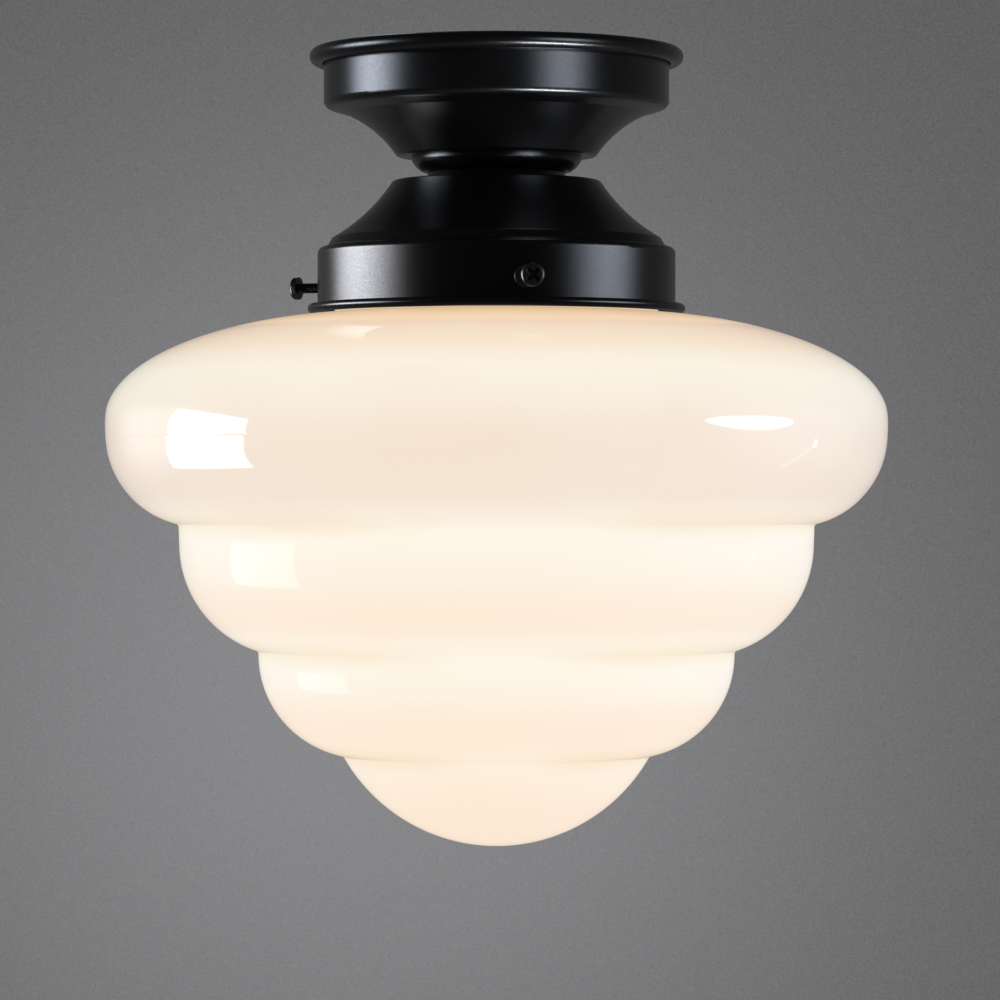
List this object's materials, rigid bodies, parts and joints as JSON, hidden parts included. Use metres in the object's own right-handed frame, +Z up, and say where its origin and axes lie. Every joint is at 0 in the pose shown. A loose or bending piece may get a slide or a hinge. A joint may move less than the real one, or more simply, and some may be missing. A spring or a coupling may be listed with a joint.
{
  "type": "batten light",
  "caption": "Close-to-ceiling light with a black spun canopy and gallery and a stepped opal glass shade held by side screws.",
  "frame": {"origin": "centre of the bracket's two ceiling slots, in the ceiling plane", "axes": "+Z up into the ceiling along the rod, +X along the bracket, -Y towards the front"},
  "size_m": [0.3, 0.3, 0.3061],
  "materials": {
    "black_enamel": "satin black stoved enamel on spun steel",
    "black_turned": "semi-gloss black enamel on turned steel",
    "black_screws": "black oxidised steel",
    "opal_glass": "glossy blown opal glass, lit from inside",
    "zinc_steel": "bright zinc plate",
    "brass": "plain brass",
    "nickel": "nickel plate",
    "black_plastic": "moulded black phenolic",
    "porcelain": "unglazed steatite",
    "white_plastic": "moulded white plastic",
    "diffuser": "milky moulded diffuser",
    "led_white": "white solder mask on aluminium",
    "led_phosphor": "yellow phosphor",
    "black_glass": "black vitrite",
    "brown_lead": "brown insulation",
    "blue_lead": "blue insulation",
    "earth_lead": "green and yellow insulation"
  },
  "bodies": {
    "fitting": {"mounting_bracket": "zinc_steel", "threaded_rod": "zinc_steel", "rod_locknuts": "zinc_steel", "rod_bush": "white_plastic", "canopy": "black_enamel", "neck_collar": "black_turned", "neck_spacer": "black_turned", "gallery": "black_enamel", "gallery_bushes": "black_screws", "clamp_washer": "zinc_steel", "clamp_nut": "zinc_steel", "lampholder_cap": "black_plastic", "holder_grub_screw": "zinc_steel", "lampholder_skirt": "black_plastic", "lampholder_core": "porcelain", "core_screws": "brass", "lampholder_shell": "brass", "centre_contact": "brass", "terminal_block": "white_plastic", "terminal_screws": "zinc_steel", "block_screw": "zinc_steel", "ring_terminal": "nickel", "earth_screw": "zinc_steel", "line_lead": "brown_lead", "neutral_lead": "blue_lead", "earth_lead": "earth_lead"},
    "shade": {"glass_shade": "opal_glass"},
    "screw_1": {"gallery_screw_1": "black_screws"},
    "screw_2": {"gallery_screw_2": "black_screws"},
    "screw_3": {"gallery_screw_3": "black_screws"},
    "lamp": {"lamp_globe": "diffuser", "led_board": "led_white", "led_chips": "led_phosphor", "lamp_housing": "white_plastic", "lamp_cap": "nickel", "lamp_insulator": "black_glass", "lamp_contact": "nickel"}
  },
  "joints": [
    {"name": "shade_drop", "type": "slide", "parent": "fitting", "child": "shade", "axis": [0, 0, -1], "range_m": [0, 0.024]},
    {"name": "screw_1_back_out", "type": "slide", "parent": "fitting", "child": "screw_1", "axis": [0.1599, -0.9871, 0], "range_m": [0, 0.00624]},
    {"name": "screw_2_back_out", "type": "slide", "parent": "fitting", "child": "screw_2", "axis": [0.7749, 0.632, 0], "range_m": [0, 0.00624]},
    {"name": "screw_3_back_out", "type": "slide", "parent": "fitting", "child": "screw_3", "axis": [-0.9348, 0.3551, 0], "range_m": [0, 0.00624]},
    {"name": "lamp_removal", "type": "slide", "parent": "fitting", "child": "lamp", "axis": [0, 0, -1], "range_m": [0, 0.028]}
  ],
  "couplings": [
    {"joint": "screw_1_back_out", "follows": "shade_drop", "ratio": 0.26},
    {"joint": "screw_2_back_out", "follows": "shade_drop", "ratio": 0.26},
    {"joint": "screw_3_back_out", "follows": "shade_drop", "ratio": 0.26}
  ]
}
